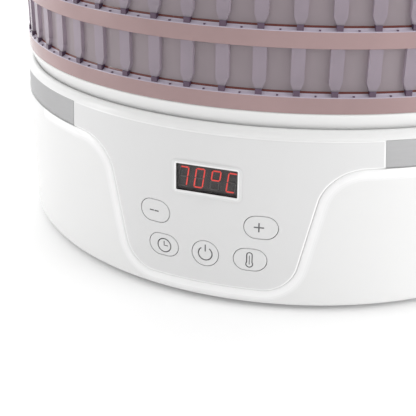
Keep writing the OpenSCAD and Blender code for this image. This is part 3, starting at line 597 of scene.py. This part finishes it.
def make_shell():
    """Wall with a rounded foot that rolls softly into the panel's recess, with a painted highlight along the
    roll.
    """
    low = WALL_LOW_Z
    flat_r = body_r(low)

    def shape(x, t, depth):
        if t >= low:
            r, z = body_r(t), t
        else:
            a = (low - t) / FOOT_ROUND
            r, z = flat_r - FOOT_ROUND + FOOT_ROUND * math.cos(a), low - FOOT_ROUND * math.sin(a)
        r -= depth
        return (x, -math.sqrt(r * r - x * x), z)

    half = half_outline()
    end_x, t_low, top = 112.0, low - FOOT_ROUND * math.pi / 2, BAND_Z - 0.1
    beyond_x = WING_X + 0.2
    rim = half + [(WING_X, WING_Z)] + [(beyond_x + (end_x - beyond_x) * i / 24, top) for i in range(25)]
    rim = [(-x, z) for x, z in rim[::-1] if x > 1e-6] + rim
    reach, fall = 5.5, 1.7
    steps = [0.0, 0.15, 0.5, 1.0, 1.7, 2.6, 3.6, 4.6, reach]
    a = np.asarray(rim, float)
    t = np.gradient(a, axis=0)
    t /= np.hypot(*t.T)[:, None]
    out = np.stack([t[:, 1], -t[:, 0]], 1)
    out[[0, -1]] = (0, -1)
    b = Builder()
    verts, faces, normals = [], [], []
    rows = []
    for d in steps:
        row = []
        for (x, z), n in zip(a, out):
            fade = 0.5 - 0.5 * math.cos(math.pi * min(1, max(0, (WING_X + 1 - abs(x)) / 9)))
            sink = fade * fall * (1 - math.sqrt(max(0.0, 1 - (1 - d / reach) ** 2)))
            px, pz = x + n[0] * d, min(z + n[1] * d, top)
            row.append(len(verts))
            verts.append(shape(px, pz, sink))
            normals.append((float("nan"),) * 3)
        rows.append(row)
    for r0, r1 in zip(rows, rows[1:]):
        for i in range(len(rim) - 1):
            faces.append([r0[i], r1[i], r1[i + 1], r0[i + 1]])
    inner = []
    for (x, z), n in zip(a, out):
        inner.append(len(verts))
        verts.append(shape(x, min(z, top), fall + 1.5))
        normals.append((float("nan"),) * 3)
    for i in range(len(rim) - 1):
        faces.append([inner[i], rows[0][i], rows[0][i + 1], inner[i + 1]])
    outer = [(x + n[0] * reach, min(z + n[1] * reach, top)) for (x, z), n in zip(a, out)]
    left = [(-end_x, top - reach + (t_low - top + reach) * i / 46) for i in range(1, 47)]
    right = [(x * -1, z) for x, z in left[::-1]]
    foot = [(-end_x + 2 * end_x * i / 90, t_low) for i in range(1, 90)]
    loop = left + foot + right + outer[::-1]
    points, tris = fill([loop], 2.5, 1.2)
    base = len(verts)
    for x, z in points:
        p = shape(x, z, 0)
        verts.append(p)
        if z >= low:
            normals.append(skin_normal(p))
        else:
            a1 = (low - z) / FOOT_ROUND
            size = math.hypot(p[0], p[1])
            normals.append((p[0] / size * math.cos(a1), p[1] / size * math.cos(a1), -math.sin(a1)))
    for f in tris:
        p, q, s = (points[i] for i in f)
        turn = (q[0] - p[0]) * (s[1] - p[1]) - (q[1] - p[1]) * (s[0] - p[0])
        faces.append([base + i for i in (f if turn > 0 else f[::-1])])
    side = []
    for _, t1 in [(-end_x, top - d) for d in steps] + left:
        p = shape(end_x, t1, 0)
        side.append((math.hypot(p[0], p[1]), p[2]))
    columns, strip = 220, len(rim) - 1
    # Painted highlight: the roll's strips take the lighter plastics, lightest beside the panel and fading
    # outwards
    looks = [1] * (len(steps) - 3) * strip + [2] * strip + [3] * strip
    base = len(verts)
    start = [math.asin(end_x / r) for r, _ in side]
    for k in range(columns + 1):
        for (r, z), a0 in zip(side, start):
            ang = a0 + (2 * math.pi - 2 * a0) * k / columns
            verts.append((r * math.sin(ang), -r * math.cos(ang), z))
            slope = 0 if z >= low else (low - z) / FOOT_ROUND
            lean = math.asin(min(1, slope))
            normals.append((math.sin(ang) * math.cos(lean), -math.cos(ang) * math.cos(lean),
                            -math.sin(lean) - WALL_SLOPE))
    n = len(side)
    for k in range(columns):
        for i in range(n - 1):
            p, q = base + k * n + i, base + (k + 1) * n + i
            faces.append([p, p + 1, q + 1, q])
    looks += [0] * (len(faces) - len(looks))
    add_mesh("housing_wall", verts, faces, "base", [WHITE] + ROLL_HIGHLIGHT_PAINTS, ["body_shell"], looks,
             np.array(normals))
    lip = flat_r - FOOT_ROUND
    b.revolve([(lip + 0.05, FOOT_H), (lip, 6.5), (lip + 3, 6.5)], 256, closed=False)
    seat = BAND_R - BAND_T - 0.15
    gap = math.degrees(math.asin((WING_X + 1) / SHOULDER_R))
    b.revolve([(body_r(BAND_Z) - 0.02, BAND_Z - 0.1), (seat, BAND_Z), (seat, SHOULDER_Z - SEAM),
               (seat - 2, SHOULDER_Z - SEAM)], 220, False, gap, 360 - gap)
    add_mesh("housing_inner", b.v, b.f, "base", WHITE)


def make_band():
    """Silver band with rounded edges, cut to the slant of the panel's wings at both ends."""
    edge, columns = 0.25, 300
    z0, z1 = BAND_Z + 0.02, SHOULDER_Z - SEAM
    low = body_r(z0) - PANEL_INSET
    profile = [(BAND_R - BAND_T, z0), (low - edge, z0), (low, z0 + edge), (BAND_R, z1 - edge),
               (BAND_R - edge, z1), (BAND_R - BAND_T, z1)]
    n = len(profile)
    start = [math.asin((wing_at(z) + 0.02) / r) for r, z in profile]
    verts = []
    for k in range(columns + 1):
        for (r, z), first in zip(profile, start):
            a = first + (2 * math.pi - 2 * first) * k / columns
            verts.append((r * math.sin(a), -r * math.cos(a), z))
    faces = [[k * n + i, (k + 1) * n + i, (k + 1) * n + (i + 1) % n, k * n + (i + 1) % n]
             for k in range(columns) for i in range(n)]
    faces += [list(range(n))[::-1], [columns * n + i for i in range(n)]]
    add_mesh("band_ring", verts, faces, "base", SILVER, ["silver_band"])


def make_top():
    """Rounded shoulder that rolls down into a crease, darkened by its shape and by the white plastic's
    painted crease shade, then collar, locating lip, bowl and deck.
    """
    rim = arc(RIM_R, SHOULDER_Z, SHOULDER_R - RIM_R, 0, 112, 20, RIM_H)
    cove = [(CREASE_R, CREASE_Z), (CREASE_R + 0.15, CREASE_Z + 0.25), (CREASE_R + 0.45, CREASE_Z + 0.7)]
    cove += [(COLLAR_R - 0.6, COLLAR_Z - 2.2), (COLLAR_R - 0.15, COLLAR_Z - 1.3)]
    collar = [(COLLAR_R, COLLAR_Z - 0.8), (COLLAR_R - 0.15, COLLAR_Z - 0.4),
              (COLLAR_R - 0.5, COLLAR_Z - 0.05), (COLLAR_R - 1.0, COLLAR_Z)]
    lip_r, lip_in_r, lip_z = 163.9, 161.9, COLLAR_Z + 5
    lip = [(lip_r, COLLAR_Z), (lip_r, lip_z - 0.6), (lip_r - 0.6, lip_z), (lip_in_r, lip_z), (lip_in_r, 103)]
    deck_z, deck_under, seat_r, hole_r = 92.5, 87.5, 65.5, 56
    bowl = [(160.5, 101.6), (151.5, 93.4), (150, deck_z), (seat_r + 0.7, deck_z), (seat_r, deck_z - 0.5),
            (seat_r, 90), (hole_r, 90), (hole_r, deck_under), (151, deck_under)]
    tongue = [(TONGUE_R - 5, CREASE_Z), (TONGUE_R - 2, 86), (TONGUE_R, 86), (TONGUE_R, SHOULDER_Z - 0.02)]
    b = Builder()
    b.revolve([(SHOULDER_R - 0.25, SHOULDER_Z - 0.02)] + rim + cove + collar + lip + bowl + tongue, 300)
    add_mesh("rim_and_deck", b.v, b.f, "base", WHITE, ["top_cover"], angle=50)


# ---------------------------------------------------------------- trays and lid

RIBS = 60
RIB_PHASE = 2.2


def tray_mesh():
    """One tray at the bottom of the stack: skirt, ledge with a painted highlight, dark root, ribbed wall and
    open floor.
    """
    b = Builder()
    skirt = [(164.4, 0.15), (164.55, 0.0), (166.2, 0.0), (166.45, 0.25), (166.5, 0.8), (166.5, 5.0),
             (166.42, 7.45)]
    ledge = [(166.42, 7.45), (166.36, 7.65), (166.15, 7.8), (165.4, 8.0), (164.7, 8.3), (164.2, 8.65),
             (164.0, 8.95)]
    root = [(164.0, 8.95), (163.75, 9.3), (163.6, 9.9)]
    wall = [(163.6, 9.9), (163.6, 34.4), (163.2, 34.9), (162.0, 34.9), (161.6, 34.5), (161.6, 6.5),
            (158.6, 6.5), (158.6, 5.5), (164.2, 5.5)]
    b.revolve(skirt + [(165.0, 7.2), (164.4, 5.5)], 240, mat=1)
    # The ledge takes the look with the painted highlight
    b.revolve(ledge, 240, closed=False, mat=4)
    b.revolve(root, 240, closed=False, mat=5)
    b.revolve(wall + [(163.3, 8.6)], 240, mat=0)
    for k in range(RIBS):
        at = RIB_PHASE + 6 * k
        b.bar(at, 163.4, 166.0, 7.9, 10.5, 3.1, mat=3)
        b.bar(at, 163.4, 165.6, 10.5, 14.2, 3.1, 6.2, mat=6)
        b.bar(at, 163.4, 165.6, 14.2, 29.9, 6.2, 6.2, mat=6)
        b.bar(at + 3, 165.2, 166.1, 7.8, 8.45, 0.9, mat=3)
    for r, w in [(18, 3.0)] + [(18 + 7.6 * i, 1.3) for i in range(1, 19)] + [(160.2, 2.2)]:
        b.revolve([(r - w / 2, 6.6), (r + w / 2, 6.6), (r + w / 2, 8.3), (r - w / 2, 8.3)], 144, mat=2)
    for k in range(120):
        r0 = 17.5 if k % 4 == 0 else (40.0 if k % 2 == 0 else 86.0)
        b.bar(1.5 + 3 * k, r0, 160.9, 6.7, 8.1, 1.3, mat=2)
    return b


def make_trays():
    b = tray_mesh()
    first = None
    for i in range(TRAYS):
        z0 = COLLAR_Z + TRAY_PITCH * i
        name = f"tray_{i + 1}"
        verts = [(x, y, z + z0) for x, y, z in b.v]
        first = add_mesh(name + "_shell", verts, b.f, name, TRAY_LOOKS,
                         [name], face_mats=b.m, angle=32)
    return first


def make_lid():
    z0 = COLLAR_Z + TRAY_PITCH * TRAYS
    b = Builder()
    edge = [(164.4, 0.15), (164.55, 0.0), (166.2, 0.0), (166.45, 0.25), (166.5, 0.8), (166.3, 5.3),
            (165.9, 6.2)]
    out = edge + arc(156.0, 7.0, 10.0, 4, 90, 14) + [(100, 17.7), (81, 18.0)]
    inner = [(81, 15.8), (100, 15.5)] + arc(156.0, 7.0, 7.8, 90, 10, 12)
    b.revolve(out + inner, 256)
    hub = [(41, 15.8), (41, 18.0), (22.3, 18.0), (21.5, 18.3), (20.6, 19.7), (19.6, 20.0), (0.01, 20.0),
           (0.01, 17.8), (19.0, 17.8), (20.9, 15.8)]
    b.revolve(hub, 128)
    for k in range(24):
        b.bar(7.5 + 15 * k, 40.5, 81.5, 15.9, 17.95, 6.4)
    for r in (50, 60, 70):
        b.revolve([(r - 0.9, 16.0), (r + 0.9, 16.0), (r + 0.9, 17.6), (r - 0.9, 17.6)], 160)
    verts = [(x, y, z + z0) for x, y, z in b.v]
    add_mesh("lid_shell", verts, b.f, "lid", TINT_BAND, ["lid"], angle=35)


# ---------------------------------------------------------------- display

def make_lens():
    """The look of the smoked window in front of the digits."""
    made = Mat("smoked_window", Roughness=0.05, IOR=1.49)
    made.vary((0.05, 0.05, 0.052), 0.1, 30.0).bump(500.0, 0.00001, 0.1)
    clear = made.node("ShaderNodeBsdfTransparent", Color=(0.93, 0.92, 0.92, 1))
    mix = made.node("ShaderNodeMixShader")
    edge = made.node("ShaderNodeFresnel", IOR=1.3)
    made.link(edge.outputs["Fac"], mix.inputs["Fac"])
    made.link(clear.outputs["BSDF"], mix.inputs[1])
    made.link(made.bsdf.outputs["BSDF"], mix.inputs[2])
    made.link(mix.outputs["Shader"], made.out.inputs["Surface"])
    CAD_LOOKS["display_lens"] = made.m


# ---------------------------------------------------------------- light, floor and camera

def make_camera():
    """The camera that a fit of the base's round edges and the display's corners gave."""
    az, el = math.radians(13.64), math.radians(22.581)
    yaw, pitch, roll = (math.radians(a) for a in (-5.31, -2.159, -3.094))
    dist, lens = 0.5806, 72.79
    right, up = Vector((1, 0, 0)), Vector((0, math.sin(el), math.cos(el)))
    ahead = Vector((0, math.cos(el), -math.sin(el)))
    m = Matrix((right, up, ahead))
    ry = Matrix(((math.cos(yaw), 0, -math.sin(yaw)), (0, 1, 0), (math.sin(yaw), 0, math.cos(yaw))))
    rp = Matrix(((1, 0, 0), (0, math.cos(pitch), -math.sin(pitch)), (0, math.sin(pitch), math.cos(pitch))))
    rr = Matrix(((math.cos(roll), -math.sin(roll), 0), (math.sin(roll), math.cos(roll), 0), (0, 0, 1)))
    rows = rr @ rp @ ry @ m
    turn = Matrix.Rotation(az, 3, "Z")
    x, y, z = (turn @ Vector(rows[i]) for i in range(3))
    place = turn @ Vector((0, -dist * math.cos(el), dist * math.sin(el))) + Vector((0, 0, 0.0025))
    data = bpy.data.cameras.new("camera")
    data.lens, data.sensor_width = lens, 36.0
    data.clip_start, data.clip_end = 0.01, 50
    cam = bpy.data.objects.new("camera", data)
    bpy.context.scene.collection.objects.link(cam)
    back = -z
    cam.matrix_world = Matrix(((x[0], y[0], back[0], place[0]), (x[1], y[1], back[1], place[1]),
                               (x[2], y[2], back[2], place[2]), (0, 0, 0, 1)))
    bpy.context.scene.camera = cam


def area(name, place, target, size, power, size_y=None):
    data = bpy.data.lights.new(name, "AREA")
    data.shape = "RECTANGLE"
    data.size, data.size_y = size, size_y or size
    data.energy = power
    lamp = bpy.data.objects.new(name, data)
    bpy.context.scene.collection.objects.link(lamp)
    lamp.location = place
    lamp.rotation_euler = (Vector(target) - Vector(place)).to_track_quat("-Z", "Y").to_euler()


def make_stage():
    mesh = bpy.data.meshes.new("floor")
    s = 6.0
    mesh.from_pydata([(-s, -s, 0), (s, -s, 0), (s, s, 0), (-s, s, 0)], [], [(0, 1, 2, 3)])
    floor = bpy.data.objects.new("floor", mesh)
    made = Mat("pale_floor", Emission_Strength=0.13)
    made.bsdf.inputs["Emission Color"].default_value = (1, 1, 1, 1)
    made.vary((0.94, 0.94, 0.94), 0.004, 2.0).roughness(0.45, 0.55, 5.0).bump(200.0, 0.00002, 0.1)
    mesh.materials.append(made.m)
    bpy.context.scene.collection.objects.link(floor)
    world = bpy.data.worlds.new("studio")
    world.use_nodes = True
    tree = world.node_tree
    sky = tree.nodes["Background"]
    sky.inputs["Color"].default_value = (1, 1, 1, 1)
    place, lean = tree.nodes.new("ShaderNodeTexCoord"), tree.nodes.new("ShaderNodeVectorMath")
    level = tree.nodes.new("ShaderNodeMath")
    lean.operation, level.operation = "DOT_PRODUCT", "ADD"
    lean.inputs[1].default_value = SKY_LEAN
    level.inputs[1].default_value = SKY
    tree.links.new(place.outputs["Generated"], lean.inputs[0])
    tree.links.new(lean.outputs["Value"], level.inputs[0])
    tree.links.new(level.outputs["Value"], sky.inputs["Strength"])
    bpy.context.scene.world = world
    bpy.context.scene.view_settings.view_transform = "Standard"
    area("left_window", (-1.5, -0.75, 0.35), (0, 0, 0.08), 0.35, 2.6, 0.7)
    area("right_window", (1.7, -0.2, 0.6), (0, 0, 0.05), 0.9, 14)


make_camera()
make_stage()
make_lens()
for node, look in CAD_LOOKS.items():
    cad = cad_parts[node]
    cad.data.materials.clear()
    cad.data.materials.append(look)
make_shell()
make_band()
make_top()
make_panel()
make_keys()
make_icons()
make_trays()
make_lid()

bpy.context.view_layer.update()
